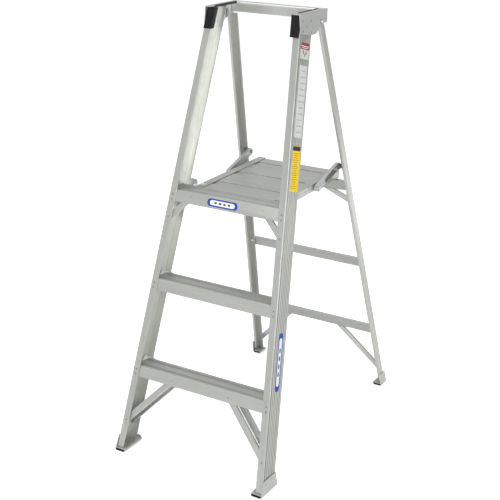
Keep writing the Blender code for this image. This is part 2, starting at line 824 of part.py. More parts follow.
def spreader_bracket(name, rail):
    """An angle against the rear rail's back flange that holds the spreader arm's upper pin."""
    side = rail.side
    y, z = SPREADER_UPPER
    wall = SPREADER_BRACKET_WALL
    radius = SPREADER_BRACKET_RADIUS
    inner = ARM_OUTER + 0.04
    depth = REAR_DEPTH - RAIL_WALL - GAP
    corner = REAR_SLOPE.at(0, z - radius, depth)
    top = REAR_SLOPE.at(0, z + radius, depth)
    outline = [(corner.y, corner.z), *arc((y, z), radius, 255, 105, 10), (top.y, top.z)]
    faces = sorted((side * inner, side * (inner + wall)))
    place = frame(Vector(), AXIS_Y, AXIS_Z)
    outlines = [outline, pin_hole(SPREADER_UPPER)]
    plate = sweep(f"spreader_bracket_{name}", outlines, place, *faces, REAR_PIVOT, DARK_STEEL)
    inset = 0.01  # of the leg's back face from the plate's edge
    leg_outer, leg_inner = 0.4, rail.half(z) - inner - wall / 2
    leg_front, leg_back = depth - inset - wall, depth - inset
    leg_outline = [
        (leg_outer, leg_front),
        (leg_inner, leg_front),
        (leg_inner, leg_back),
        (leg_outer, leg_back),
    ]
    end = radius - wall
    leg = sweep(
        f"spreader_leg_{name}",
        [mirrored(leg_outline, side)],
        rail.section(),
        z - OVERRUN,
        z + OVERRUN,
        REAR_PIVOT,
        cuts=[(AXIS_Z * (z - end), -AXIS_Z), (AXIS_Z * (z + end), AXIS_Z)],
    )
    boolean(plate, leg, "UNION")


# ---------------------------------------------------------------- platform


def plank(name, front, back):
    """A deck plank with a shallow recess along its middle and a leg under each edge."""
    top = PLATFORM_TOP - GAP
    under = top - STEP_WALL
    middle = (front + back) / 2
    edge = RECESS_WIDTH / 2
    wall = SKIRT_WALL
    outline = [
        (front, PLANK_BOTTOM),
        (front, top),
        (middle - edge, top),
        (middle - edge, top - RECESS_DEPTH),
        (middle + edge, top - RECESS_DEPTH),
        (middle + edge, top),
        (back, top),
        (back, PLANK_BOTTOM),
        (back - wall, PLANK_BOTTOM),
        (back - wall, under),
        (middle + edge + wall, under),
        (middle + edge + wall, under - RECESS_DEPTH),
        (middle - edge - wall, under - RECESS_DEPTH),
        (middle - edge - wall, under),
        (front + wall, under),
        (front + wall, PLANK_BOTTOM),
    ]
    outline = rounded(outline, {1: 0.08, 6: 0.08}, 3)
    place = frame(Vector(), AXIS_Y, AXIS_Z)
    reach = PLANK_HALF_LENGTH
    sweep(name, [outline], place, -reach, reach, PLATFORM_PIVOT, BRIGHT_ALUMINIUM)


def side_beam(name, side):
    """A channel along the deck's side that opens inwards and holds the planks' ends."""
    top = PLATFORM_TOP + BEAM_WALL
    height = top - BEAM_BOTTOM
    outline = channel(height, BEAM_BOTTOM_FLANGE, BEAM_WALL, BEAM_TOP_FLANGE)
    outline = [(z, side * (BEAM_HALF_WIDTH - x)) for x, z in outline]
    place = frame(Vector((0, 0, BEAM_BOTTOM)), AXIS_Z, AXIS_X)
    piece = sweep(
        f"side_beam_{name}", [outline], place, PLATFORM_FRONT, PLATFORM_BACK, PLATFORM_PIVOT
    )
    drill(piece, PLATFORM_FOLD, side * (BEAM_HALF_WIDTH - BEAM_WALL / 2))


# ---------------------------------------------------------------- spreader arms


def arm_shape(length, radius, inset=0.0):
    """A bar with round ends about (0, 0) and (length, 0)."""
    near = arc((inset, 0), radius, 270, 90, 10)
    far = arc((length, 0), radius, 90, -90, 10)
    return near + far


def spreader_arm(name, side, arm_pivot):
    """A pressed arm whose outer face is open as a channel over its upper part."""
    upper = Vector((0, *SPREADER_UPPER))
    lower = Vector((0, *SPREADER_LOWER))
    along = (lower - upper).normalized()
    length = (lower - upper).length
    place = frame(upper, along, AXIS_X.cross(along))
    half = ARM_WIDTH / 2
    faces = sorted((side * ARM_INNER, side * ARM_OUTER))
    outlines = [arm_shape(length, half), pin_hole((0, 0)), pin_hole((length, 0))]
    arm = sweep(f"spreader_arm_{name}", outlines, place, *faces, arm_pivot)
    pocket_faces = sorted((side * (ARM_INNER + ARM_WALL), side * (ARM_OUTER + ARM_WALL)))
    pocket_start, pocket_end = ARM_POCKET
    pocket = sweep(
        f"arm_pocket_{name}",
        [arm_shape(length - pocket_end, half - ARM_WALL, pocket_start)],
        place,
        *pocket_faces,
        arm_pivot,
    )
    boolean(arm, pocket, "DIFFERENCE")
    turned(f"spreader_bolt_{name}", SPREADER_BOLT, SPREADER_LOWER, side, arm_pivot)


# ---------------------------------------------------------------- the ladder

clear_scene()
PARTS = new_collection("platform_step_ladder")
CUTTERS = new_collection("cutters")
ROOT = bpy.data.objects.new("ladder", None)
ROOT.location.y = -BASE_MIDDLE * INCH
PARTS.objects.link(ROOT)
FRONT_FRAME = pivot("front_frame", (0, 0, 0))
REAR_PIVOT = pivot("rear_fold_axis", (0, *REAR_FOLD))
PLATFORM_PIVOT = pivot("platform_fold_axis", (0, *PLATFORM_FOLD))

step("lower_step", STEP_RISE)
step("upper_step", 2 * STEP_RISE)
step("platform_step", PLATFORM_TOP)
guard_bar()
for side_name, front in FRONT.items():
    front_rail(side_name, front)
    step_braces(side_name, front)
    knee_brace(side_name, front)
    guard_plate(side_name, front)
    end_cap(side_name, front)
    front_foot(side_name, front)
    platform_bracket(side_name, front)
    turned(f"platform_pin_{side_name}", PLATFORM_PIN, PLATFORM_FOLD, front.side, FRONT_FRAME)
    turned(f"rear_hinge_bolt_{side_name}", REAR_HINGE_BOLT, REAR_FOLD, front.side, FRONT_FRAME)

for bar_name, edges in REAR_BARS.items():
    rear_bar(bar_name, *edges)
for side_name, rear in REAR.items():
    rear_rail(side_name, rear)
    rear_brace("top", side_name, rear)
    rear_brace("bottom", side_name, rear)
    rear_foot(side_name, rear)
    spreader_bracket(side_name, rear)
    turned(
        f"spreader_pin_{side_name}",
        SPREADER_PIN,
        SPREADER_UPPER,
        rear.side,
        REAR_PIVOT,
        DARK_STEEL,
    )

joints = [PLATFORM_FRONT - GAP, PLANK_BACK_JOINT, PLANK_BACK_JOINT + PLANK_PITCH, PLATFORM_BACK]
for plank_name, front_joint, back_joint in zip(("front", "middle", "back"), joints, joints[1:]):
    plank(f"deck_plank_{plank_name}", front_joint + GAP, back_joint - GAP)
for side_name, beam_side in SIDES.items():
    side_beam(side_name, beam_side)
    arm_axis = pivot(f"spreader_axis_{side_name}", (0, *SPREADER_UPPER), REAR_PIVOT)
    spreader_arm(side_name, beam_side, arm_axis)
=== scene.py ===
"""Looks of the platform step ladder, built round its CAD frame.

Everything is placed from the frame: a point on a piece is found by casting a ray at its CAD node.
Sizes are in inches and become metres where a mesh is made.
"""

from math import cos, pi, radians, sin, tan

import bmesh
import bpy
from mathutils import Matrix, Vector


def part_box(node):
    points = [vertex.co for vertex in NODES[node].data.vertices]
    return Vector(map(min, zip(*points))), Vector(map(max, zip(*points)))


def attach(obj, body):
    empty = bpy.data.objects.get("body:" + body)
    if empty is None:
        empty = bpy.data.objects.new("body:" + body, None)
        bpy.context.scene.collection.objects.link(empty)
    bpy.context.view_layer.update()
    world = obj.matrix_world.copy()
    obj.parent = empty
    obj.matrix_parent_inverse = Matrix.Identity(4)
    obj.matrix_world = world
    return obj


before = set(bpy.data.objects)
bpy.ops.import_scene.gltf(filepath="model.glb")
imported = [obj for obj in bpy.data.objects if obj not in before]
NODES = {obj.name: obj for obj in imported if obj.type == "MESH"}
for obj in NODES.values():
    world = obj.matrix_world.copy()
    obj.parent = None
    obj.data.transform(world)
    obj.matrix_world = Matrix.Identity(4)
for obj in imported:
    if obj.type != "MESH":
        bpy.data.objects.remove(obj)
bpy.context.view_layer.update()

INCH = 0.0254
SIDES = {"left": -1, "right": 1}
RIGHT = Vector((1, 0, 0))
BACK = Vector((0, 1, 0))
UP = Vector((0, 0, 1))
REACH = 6.0  # how far from a face a ray starts

# Camera, on a sphere round its target.
CAMERA_TARGET = (0.907, -4.1, 27.6)
CAMERA_AZIMUTH = 31.5
CAMERA_ELEVATION = 20.8
CAMERA_DISTANCE = 154.1
CAMERA_FIELD = 25.1
SENSOR = 36.0

# Floor, sky and lamps.
FLOOR_RADIUS = 14.0  # metres
FLOOR_DROP = 0.0005  # metres below the feet
FLOOR_COLOURS = ((0.93, 0.93, 0.93, 1), (0.96, 0.96, 0.96, 1))
WORLD_LIGHT = (0.35, 0.80)  # at the horizon and straight up
FLOOR_GLOW = (0.10, 0.45)  # for reflections and for the camera
# Name, place, diameter, power, spread in degrees and the point it is aimed at, in metres.
LIGHTS = [
    ("key", (1.8, -2.9, 1.7), 1.2, 21, 95, (-0.15, 0, 1.2)),
    ("low_back", (1.45, 2.5, 0.15), 0.9, 3, 180, (-0.21, -0.11, 1.15)),
    ("overhead", (-0.5, 0.6, 5.0), 3.6, 64, 180, (0, 0, 0.8)),
    ("fill", (-3.2, -2.6, 1.6), 2.4, 7, 180, (0, 0, 0.7)),
]

# Fasteners: radius and height of a rivet's head.
RIVET = (0.15, 0.07)
SMALL_RIVET = (0.11, 0.05)
FLAT_RIVET = (0.11, 0.025)
BIG_RIVET = (0.19, 0.08)
SUNK = 0.01  # how far a fitted piece reaches into what carries it

# Ribs up the outside of the front rails' webs.
RIB_COUNT = 6
RIB_WIDTH = 0.38
RIB_HEIGHT = 0.065
RIB_FIELD = (0.16, 0.86)  # share of the web's depth that the ribs' centres span
RIB_BOTTOM = 2.12
RIB_TOP = 56.75
RIB_RAMP = 0.12  # over which a rib rises at each end
RIB_END = 0.3  # share of its height that a rib starts at
VALLEY_EDGES = (0.26, 0.38)  # how far from a rib's middle the painted shade line in the valley starts, in ribs

# Fittings near the platform's pin. The tab has to swing past the platform step's back.
PIN_CLEARANCE = 0.40
TAB_START = 0.52
TAB_END = 1.00
TAB_PROFILE = (0.92, 0.46, 0.34)  # of its foot's edge, bend and outer face from the beam's side
TAB_WALL = 0.05
TAB_HEIGHT = 0.28
TAB_RIVET = 0.70  # from the beam's side to the rivet through the tab's foot

# Black strips along the guard plates' folds, which stand for the shadow line under each fold.
TRIM_COVER = 0.26
TRIM_WALL = 0.05
TRIM_DEPTH = 0.22
TRIM_FRONT_GAP = 0.05
TRIM_BACK_GAP = 0.06
GUARD_WALL = 0.09

# Where the rivets are, as (|x|, z), or as (y, z) on a side face. y counts from the rails' feet.
STEP_BACK_Y = 6.2  # behind the lower step's back skirt
FRONT_FLANGE_RIVETS = [
    (8.50, 35.42),
    (8.55, 34.74),
    (9.50, 23.44),
    (9.55, 22.76),
    (10.50, 11.48),
    (10.55, 10.80),
    (8.72, 32.40),
    (11.00, 4.32),
]
BACK_FLANGE_RIVETS = [
    (9.50, 23.44),
    (9.55, 22.76),
    (10.50, 11.48),
    (10.55, 10.80),
    (11.05, 3.62),
]
SKIRT_RIVETS = [
    ("lower_step", 4.6, 11.10),
    ("platform_step", 5.6, 35.45),
]
BACK_SKIRT_RIVET = ("lower_step", 4.6, 10.75)
PLATE_RIVETS = [(17.5, 58.95), (19.6, 58.75), (18.45, 58.2), (17.4, 57.65), (19.5, 57.25)]
SHOE_RIVETS = [(1.0, 1.35), (2.55, 1.42)]

# Ridges on the front shoes, and each shoe's upturned tab.
TREAD_RIDGES = 7
TREAD_PITCH = 0.165
TREAD_SPAN = (0.42, 2.78)
TREAD_INSET = 0.12

# Clips that close the treads' ends.
CLIP_WALL = 0.05
CLIP_RISE = 0.42
CLIP_LENGTH = 1.45
CLIP_REACH = 1.35
CLIP_FROM_WEB = 0.16  # clear of the middle of the rail's sloping web
CLIP_FROM_BACK = 0.18

# Labels: the height of its middle, its width and its height, for each on the right rail.
YELLOW_LABEL = (40.75, 1.9, 5.9)
RED_LABEL = (55.75, 2.1, 0.85)
MARK_LABEL = (54.75, 2.1, 1.2)
PALE_LABEL = (49.0, 1.9, 9.2)
RAIL_BADGE = (16.6, 1.15, 7.8)
SKIRT_BADGE_PLACE = (-0.58, 35.22)  # x and z of its middle
SHEET = 0.012
LABEL_LIFT = RIB_HEIGHT - 0.008
LABEL_ROOT = 0.03  # how far a rail's label reaches down between the ribs


# ---------------------------------------------------------------- mesh helpers


def land(node, start, direction):
    """Where a ray first meets a CAD node, in inches, with the face's normal there."""
    heading = Vector(direction).normalized()
    hit, place, normal, _ = NODES[node].ray_cast(Vector(start) * INCH, heading)
    if not hit:
        raise ValueError(f"no face of {node} on the ray from {tuple(start)}")
    if normal.dot(heading) > 0:
        normal = -normal
    return place / INCH, normal.normalized()


def placed(place, normal, up):
    """Matrix with z along the normal and y as near to up as it can be."""
    up = (up - normal * up.dot(normal)).normalized()
    across = up.cross(normal)
    return Matrix.Translation(place) @ Matrix((across, up, normal)).transposed().to_4x4()


def finish_mesh(name, bm, body, finish, smooth=32):
    bmesh.ops.scale(bm, verts=bm.verts, vec=(INCH,) * 3)
    bmesh.ops.recalc_face_normals(bm, faces=bm.faces)
    mesh = bpy.data.meshes.new(name)
    bm.to_mesh(mesh)
    bm.free()
    mesh.shade_smooth()
    mesh.set_sharp_from_angle(angle=radians(smooth))
    obj = bpy.data.objects.new(name, mesh)
    bpy.context.scene.collection.objects.link(obj)
    mesh.materials.append(finish)
    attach(obj, body)
    return obj


def prism(bm, outline, matrix, low, high):
    """A closed solid: an outline in the matrix's x and y, from low to high along its z."""
    rings = []
    for z in (low, high):
        rings.append([bm.verts.new(matrix @ Vector((x, y, z))) for x, y in outline])
    bottom, top = rings
    bm.faces.new(list(reversed(bottom)))
    bm.faces.new(top)
    for i in range(len(outline)):
        j = (i + 1) % len(outline)
        bm.faces.new((bottom[i], bottom[j], top[j], top[i]))


def lathe(bm, profile, matrix, steps=16):
    """A closed turned solid: (radius, height) pairs whose first and last lie on the axis."""
    first = bm.verts.new(matrix @ Vector((0, 0, profile[0][1])))
    last = bm.verts.new(matrix @ Vector((0, 0, profile[-1][1])))
    rings = []
    for radius, height in profile[1:-1]:
        ring = []
        for i in range(steps):
            angle = 2 * pi * i / steps
            point = Vector((radius * cos(angle), radius * sin(angle), height))
            ring.append(bm.verts.new(matrix @ point))
        rings.append(ring)
    for i in range(steps):
        j = (i + 1) % steps
        bm.faces.new((first, rings[0][i], rings[0][j]))
        for near, far in zip(rings, rings[1:]):
            bm.faces.new((near[i], far[i], far[j], near[j]))
        bm.faces.new((last, rings[-1][j], rings[-1][i]))


def rivet_profile(radius, height):
    """A pop rivet's head: a low dome with a dimple in its middle."""
    return [
        (0, 0.45 * height),
        (0.20 * radius, 0.45 * height),
        (0.30 * radius, 0.90 * height),
        (0.50 * radius, height),
        (0.78 * radius, 0.74 * height),
        (0.96 * radius, 0.30 * height),
        (radius, 0.05 * height),
        (radius, -SUNK),
        (0, -SUNK),
    ]


def rivets(name, body, spots, size=RIVET, finish=None):
    """One piece of rivet heads, each at a (place, normal) found by land()."""
    bm = bmesh.new()
    for place, normal in spots:
        lathe(bm, rivet_profile(*size), placed(place, normal, steady(normal)))
    return finish_mesh(name, bm, body, finish or RIVET_FINISH)


def steady(normal):
    """A direction that is never along the normal."""
    return UP if abs(normal.z) < 0.9 else BACK


def arc(centre, radius, start, end, segments=8):
    angles = [radians(start + (end - start) * i / segments) for i in range(segments + 1)]
    return [(centre[0] + radius * cos(a), centre[1] + radius * sin(a)) for a in angles]


def pill(width, height, segments=10):
    """A bar with round ends, along whichever of its sides is longer."""
    radius = min(width, height) / 2
    if width >= height:
        x = width / 2 - radius
        return arc((x, 0), radius, -90, 90, segments) + arc((-x, 0), radius, 90, 270, segments)
    y = height / 2 - radius
    return arc((0, y), radius, 0, 180, segments) + arc((0, -y), radius, 180, 360, segments)


def panel(width, height, radius=0.08):
    """A rectangle with rounded corners."""
    x, y = width / 2 - radius, height / 2 - radius
    corners = [((x, y), 0), ((-x, y), 90), ((-x, -y), 180), ((x, -y), 270)]
    outline = []
    for centre, start in corners:
        outline += arc(centre, radius, start, start + 90, 4)
    return outline


def shifted(outline, x, y):
    return [(a + x, b + y) for a, b in outline]


# ---------------------------------------------------------------- places on the frame


class Web:
    """The outer face of a front rail's web: its front and back edges and its place at a height."""

    def __init__(self, node, side):
        self.side = side
        points = [vertex.co / INCH for vertex in NODES[node].data.vertices]
        self.low = min(p.z for p in points)
        self.high = max(p.z for p in points)
        self.rings = []
        for z in (self.low, self.high):
            ring = [p for p in points if abs(p.z - z) < 0.01]
            front = min(p.y for p in ring)
            back = max(p.y for p in ring)
            outer = max(side * p.x for p in ring)
            self.rings.append((front, back, outer))

    def at(self, share, z, lift=0.0):
        """The point at a share of the web's depth and a height, lifted off the face."""
        t = (z - self.low) / (self.high - self.low)
        front, back, outer = [a + (b - a) * t for a, b in zip(*self.rings)]
        return Vector((self.side * (outer + lift), front + (back - front) * share, z))


WEBS = {name: Web(f"front_rail_{name}", side) for name, side in SIDES.items()}
FOOT_Y = WEBS["right"].at(0, 0).y


def skin(node, x, y, z, direction):
    """Where a ray towards a point, from REACH before it, meets a node. y counts from the feet."""
    point = Vector((x, FOOT_Y + y, z))
    return land(node, point - Vector(direction) * REACH, direction)


# ---------------------------------------------------------------- materials


class Graph:
    """Short forms for building a material's nodes."""

    def __init__(self, name):
        self.material = bpy.data.materials.new(name)
        self.material.use_nodes = True
        self.tree = self.material.node_tree
        self.shader = self.tree.nodes["Principled BSDF"]

    def node(self, kind, inputs=(), **settings):
        made = self.tree.nodes.new(kind)
        for key, value in settings.items():
            setattr(made, key, value)
        for key, value in dict(inputs).items():
            self.put(made.inputs[key], value)
        return made

    def put(self, socket, value):
        if isinstance(value, bpy.types.NodeSocket):
            self.tree.links.new(value, socket)
        else:
            socket.default_value = value

    def maths(self, operation, first, second=0.0):
        made = self.node("ShaderNodeMath", {0: first, 1: second}, operation=operation)
        return made.outputs[0]

    def remap(self, value, low, high, to_low, to_high):
        inputs = {0: value, 1: low, 2: high, 3: to_low, 4: to_high}
        return self.node("ShaderNodeMapRange", inputs).outputs[0]

    def mix(self, factor, first, second, blend="MIX"):
        made = self.node("ShaderNodeMix", data_type="RGBA", blend_type=blend)
        self.put(made.inputs[0], factor)
        self.put(made.inputs[6], first)
        self.put(made.inputs[7], second)
        return made.outputs[2]

    def noise(self, vector, scale, detail=3.0, roughness=0.55):
        inputs = {"Vector": vector, "Scale": scale, "Detail": detail, "Roughness": roughness}
        return self.node("ShaderNodeTexNoise", inputs).outputs["Fac"]

    def place(self):
        return self.node("ShaderNodeTexCoord").outputs["Object"]

    def stretched(self, vector, along, keep):
        """The vector with its part along a direction scaled down, which draws marks out along it."""
        direction = tuple(Vector(along).normalized())
        dot = self.node("ShaderNodeVectorMath", {0: vector, 1: direction}, operation="DOT_PRODUCT")
        share = self.maths("MULTIPLY", dot.outputs["Value"], 1 - keep)
        part = self.node("ShaderNodeVectorMath", {0: direction, "Scale": share}, operation="SCALE")
        inputs = {0: vector, 1: part.outputs[0]}
        return self.node("ShaderNodeVectorMath", inputs, operation="SUBTRACT").outputs[0]

    def edges(self, radius):
        """How much a place is an edge, from 0 to 1, and the normal rounded there."""
        bevel = self.node("ShaderNodeBevel", {"Radius": radius}, samples=6)
        geometry = self.node("ShaderNodeNewGeometry")
        inputs = {0: bevel.outputs[0], 1: geometry.outputs["Normal"]}
        dot = self.node("ShaderNodeVectorMath", inputs, operation="DOT_PRODUCT")
        return self.remap(dot.outputs["Value"], 0.995, 0.80, 0.0, 1.0), bevel.outputs[0]

    def crevice(self, reach):
        """How far a place is shut in by what is round it, from 0 to 1."""
        made = self.node("ShaderNodeAmbientOcclusion", {"Distance": reach}, samples=6)
        return self.remap(made.outputs["AO"], 0.80, 0.25, 0.0, 1.0)


def shade(colour, factor):
    return tuple(min(1.0, c * factor) for c in colour) + (1.0,)


def metal(
    name,
    colour,
    along,
    roughness=0.40,
    metallic=0.7,
    grain=0.25,
    mottle=0.07,
    wear_and_edge_highlight=0.3,
    crevice_shade=0.8,
    lines=None,
):
    """Extruded or pressed metal: drawn grain, faint mottling, scuffs, and brighter edges that are
    partly worn and partly painted highlight.

    Corners and crevices are darkened with painted shade. A mask, given the graph, may add painted
    shade lines, 1 in the valleys between the ribs.
    """
    g = Graph(name)
    place = g.place()
    drawn = g.stretched(place, along, 0.02)
    long_drawn = g.stretched(place, along, 0.10)
    fine = g.noise(drawn, 1500.0, 2.0)
    streak = g.noise(drawn, 260.0, 3.0)
    patches = g.noise(long_drawn, 22.0, 4.0)
    scuffs = g.noise(place, 75.0, 6.0, 0.7)
    scuffed = g.remap(scuffs, 0.60, 0.72, 0.0, 1.0)
    edge, rounded_normal = g.edges(0.0012)
    patchy = g.remap(patches, 0.3, 0.7, 0.0, 1.0)
    tone = g.mix(patchy, shade(colour, 1 - mottle), shade(colour, 1 + mottle))
    tone = g.mix(g.remap(streak, 0.3, 0.7, 0.0, grain), tone, shade(colour, 0.86))
    tone = g.mix(g.maths("MULTIPLY", scuffed, 0.25 * wear_and_edge_highlight), tone, shade(colour, 0.72))
    # Brighter edges: partly worn metal, partly painted highlight.
    tone = g.mix(g.maths("MULTIPLY", edge, wear_and_edge_highlight), tone, shade(colour, 1.35))
    # Painted shade in corners and crevices, found by ambient occlusion.
    tone = g.mix(g.maths("MULTIPLY", g.crevice(0.003), crevice_shade), tone, shade(colour, 0.18))
    # Painted shade lines in the valleys between the ribs.
    if lines:
        tone = g.mix(g.maths("MULTIPLY", lines(g), 0.85), tone, shade(colour, 0.30))
    rough = g.remap(streak, 0.25, 0.75, roughness - 0.07, roughness + 0.08)
    rough = g.maths("ADD", rough, g.maths("MULTIPLY", scuffed, 0.10))
    rough = g.maths("SUBTRACT", rough, g.maths("MULTIPLY", edge, 0.08))
    height = g.maths("ADD", fine, g.maths("MULTIPLY", streak, 2.0))
    height = g.maths("SUBTRACT", height, g.maths("MULTIPLY", scuffed, 0.6))
    inputs = {"Strength": grain, "Distance": 0.00006, "Height": height, "Normal": rounded_normal}
    bump = g.node("ShaderNodeBump", inputs)
    g.put(g.shader.inputs["Base Color"], tone)
    g.put(g.shader.inputs["Metallic"], metallic)
    g.put(g.shader.inputs["Roughness"], rough)
    g.put(g.shader.inputs["Normal"], bump.outputs[0])
    return g.material


def moulded(name, colour, roughness=0.5, speckle=420.0, bumpiness=0.35):
    """Moulded plastic or rubber: fine pebbling, dusty patches, and paler edges that are partly worn
    and partly painted highlight.
    """
    g = Graph(name)
    place = g.place()
    pebbles = g.noise(place, speckle, 3.0)
    dust = g.noise(place, 45.0, 5.0, 0.65)
    edge, rounded_normal = g.edges(0.0010)
    tone = g.mix(g.remap(dust, 0.35, 0.75, 0.0, 1.0), shade(colour, 0.85), shade(colour, 1.9))
    # Paler edges: partly worn plastic, partly painted highlight.
    tone = g.mix(g.maths("MULTIPLY", edge, 0.5), tone, shade(colour, 3.0))
    rough = g.remap(dust, 0.3, 0.7, roughness - 0.08, roughness + 0.12)
    inputs = {"Strength": bumpiness, "Distance": 0.0002, "Height": pebbles, "Normal": rounded_normal}
    bump = g.node("ShaderNodeBump", inputs)
    g.put(g.shader.inputs["Base Color"], tone)
    g.put(g.shader.inputs["Roughness"], rough)
    g.put(g.shader.inputs["Specular IOR Level"], 0.3)
    g.put(g.shader.inputs["Normal"], bump.outputs[0])
    return g.material


def printed(name, colour):
    """A vinyl label: even ink with a faint fade, and a slight orange-peel gloss."""
    g = Graph(name)
    place = g.place()
    fade = g.noise(place, 60.0, 4.0)
    peel = g.noise(place, 700.0, 2.0)
    tone = g.mix(g.remap(fade, 0.3, 0.7, 0.0, 1.0), shade(colour, 0.92), shade(colour, 1.06))
    bump = g.node("ShaderNodeBump", {"Strength": 0.12, "Distance": 0.0001, "Height": peel})
    g.put(g.shader.inputs["Base Color"], tone)
    g.put(g.shader.inputs["Roughness"], g.remap(fade, 0.3, 0.7, 0.40, 0.55))
    g.put(g.shader.inputs["Specular IOR Level"], 0.2)
    g.put(g.shader.inputs["Normal"], bump.outputs[0])
    return g.material


ALUMINIUM = (0.55, 0.56, 0.53)
BRIGHT = (0.60, 0.61, 0.585)
BLUISH = (0.60, 0.64, 0.70)
ZINC = (0.52, 0.55, 0.58)
DARK = (0.26, 0.26, 0.25)
BLACK = (0.006, 0.006, 0.007)

RIVET_FINISH = metal("rivet_zinc", (0.34, 0.35, 0.36), UP, roughness=0.38, grain=0.1)
BOLT_FINISH = metal("bolt_zinc", BLUISH, RIGHT, roughness=0.30, grain=0.1)
BRIGHT_FINISH = metal("clip_zinc", (0.90, 0.91, 0.90), RIGHT, roughness=0.3, metallic=0.3, grain=0.1)
BRACKET_FINISH = metal("bracket_zinc", ZINC, UP, roughness=0.34)
DARK_FINISH = metal("dark_steel", DARK, RIGHT, roughness=0.45, wear_and_edge_highlight=0.5)
CAP_FINISH = moulded("cap_plastic", BLACK, roughness=0.42)
PAD_FINISH = moulded("pad_rubber", BLACK, roughness=0.7, speckle=300.0, bumpiness=0.6)
STEP_FINISH = metal("step_aluminium", ALUMINIUM, RIGHT, roughness=0.42, crevice_shade=0.35)
DECK_FINISH = metal("deck_aluminium", ALUMINIUM, RIGHT, roughness=0.42)
BEAM_FINISH = metal("beam_aluminium", ALUMINIUM, BACK, roughness=0.42)
GUARD_FINISH = metal("guard_aluminium", BRIGHT, BACK, roughness=0.40)
# Paler than the other aluminium: painted light for the bright top of the guard bar.
GUARD_BAR_LIT_FINISH = metal("guard_bar_aluminium", (0.66, 0.67, 0.65), RIGHT, roughness=0.38)
BRACE_FINISH = metal("brace_aluminium", ALUMINIUM, UP, roughness=0.42)
# Darker than the other aluminium: painted shade for the shaded rear bars.
REAR_BAR_SHADED_FINISH = metal("rear_bar_aluminium", (0.43, 0.44, 0.42), RIGHT, roughness=0.42)
YELLOW_INK = printed("ink_yellow", (0.86, 0.60, 0.008))
RED_INK = printed("ink_red", (0.33, 0.05, 0.06))
BLUE_INK = printed("ink_blue", (0.02, 0.07, 0.42))
WHITE_INK = printed("ink_white", (0.82, 0.83, 0.84))
BLACK_INK = printed("ink_black", (0.02, 0.02, 0.02))
OLIVE_INK = printed("ink_olive", (0.30, 0.22, 0.01))
SILVER_INK = printed("ink_silver", (0.62, 0.63, 0.62))
GREY_INK = printed("ink_grey", (0.42, 0.43, 0.42))
FOOT_FINISH = metal("foot_aluminium", ALUMINIUM, BACK, roughness=0.40)


def rail_direction(node):
    """From the middle of a rail's lower end to the middle of its upper end."""
    points = [vertex.co for vertex in NODES[node].data.vertices]
    low = min(p.z for p in points)
    high = max(p.z for p in points)
    ends = []
    for z in (low, high):
        near = [p for p in points if abs(p.z - z) < 0.5 * INCH]
        ends.append(sum(near, Vector()) / len(near))
    return (ends[1] - ends[0]).normalized()


RAIL_ALONG = {
    node: rail_direction(node)
    for node in NODES
    if node.startswith(("front_rail", "rear_rail"))
}


def valleys(name):
    """A mask of painted shade lines in the valleys between the ribs, on a front rail's outer face
    only.
    """
    along = RAIL_ALONG[f"front_rail_{name}"]
    web = WEBS[name]
    front = web.at(0, 0).y * INCH
    depth = web.at(1, 0).y * INCH - front
    first, last = RIB_FIELD
    start = front + first * depth
    pitch = depth * (last - first) / (RIB_COUNT - 1)

    def mask(g):
        # The place measured from the rail's sloping front edge, in ribs.
        inputs = {0: g.place(), 1: (0, 1, -along.y / along.z)}
        dot = g.node("ShaderNodeVectorMath", inputs, operation="DOT_PRODUCT").outputs["Value"]
        count = g.maths("DIVIDE", g.maths("SUBTRACT", dot, start), pitch)
        line = g.remap(g.maths("PINGPONG", count, 0.5), *VALLEY_EDGES, 0.0, 1.0)
        geometry = g.node("ShaderNodeNewGeometry")
        inputs = {0: geometry.outputs["Normal"], 1: (web.side, 0, 0)}
        facing = g.node("ShaderNodeVectorMath", inputs, operation="DOT_PRODUCT").outputs["Value"]
        return g.maths("MULTIPLY", line, g.remap(facing, 0.3, 0.7, 0.0, 1.0))

    return mask


# Painted shade lines in the rib valleys of each front rail.
RAIL_VALLEY_SHADE = {f"front_rail_{name}": valleys(name) for name in SIDES}
RAIL_FINISH = {
    node: metal(node + "_aluminium", ALUMINIUM, along, roughness=0.38, lines=RAIL_VALLEY_SHADE.get(node))
    for node, along in RAIL_ALONG.items()
}
# Darker than the other aluminium: painted shade for the arms' shaded look.
ARM_SHADED_FINISH = metal("arm_aluminium", (0.46, 0.47, 0.45), BACK, roughness=0.42)

FINISHES = {
    "lower_step": STEP_FINISH,
    "upper_step": STEP_FINISH,
    "platform_step": STEP_FINISH,
    "guard_bar": GUARD_BAR_LIT_FINISH,
    "guard_plate": GUARD_FINISH,
    "step_brace": BRACE_FINISH,
    "knee_brace": BRACE_FINISH,
    "rear_brace": BRACE_FINISH,
    "rear_bar": REAR_BAR_SHADED_FINISH,
    "end_cap": CAP_FINISH,
    "front_foot": FOOT_FINISH,
    "rear_foot": FOOT_FINISH,
    "front_pad": PAD_FINISH,
    "rear_pad": PAD_FINISH,
    "platform_bracket": BRACKET_FINISH,
    "platform_pin": BRIGHT_FINISH,
    "rear_hinge_bolt": BOLT_FINISH,
    "deck_plank": DECK_FINISH,
    "side_beam": BEAM_FINISH,
    "spreader_arm": ARM_SHADED_FINISH,
    "spreader_bolt": BOLT_FINISH,
    "spreader_bracket": DARK_FINISH,
    "spreader_pin": DARK_FINISH,
    **RAIL_FINISH,
}


def dress_nodes():
    """Gives each CAD node its finish and a small round on its edges."""
    for name, obj in NODES.items():
        stem = max((s for s in FINISHES if name.startswith(s)), key=len)
        obj.data.materials.clear()
        obj.data.materials.append(FINISHES[stem])
        weld = obj.modifiers.new("weld", "WELD")
        weld.merge_threshold = 1e-6
        bevel = obj.modifiers.new("edge_round", "BEVEL")
        bevel.width = 0.0004
        bevel.segments = 2
        bevel.limit_method = "ANGLE"
        bevel.angle_limit = radians(35)


# ---------------------------------------------------------------- front rails


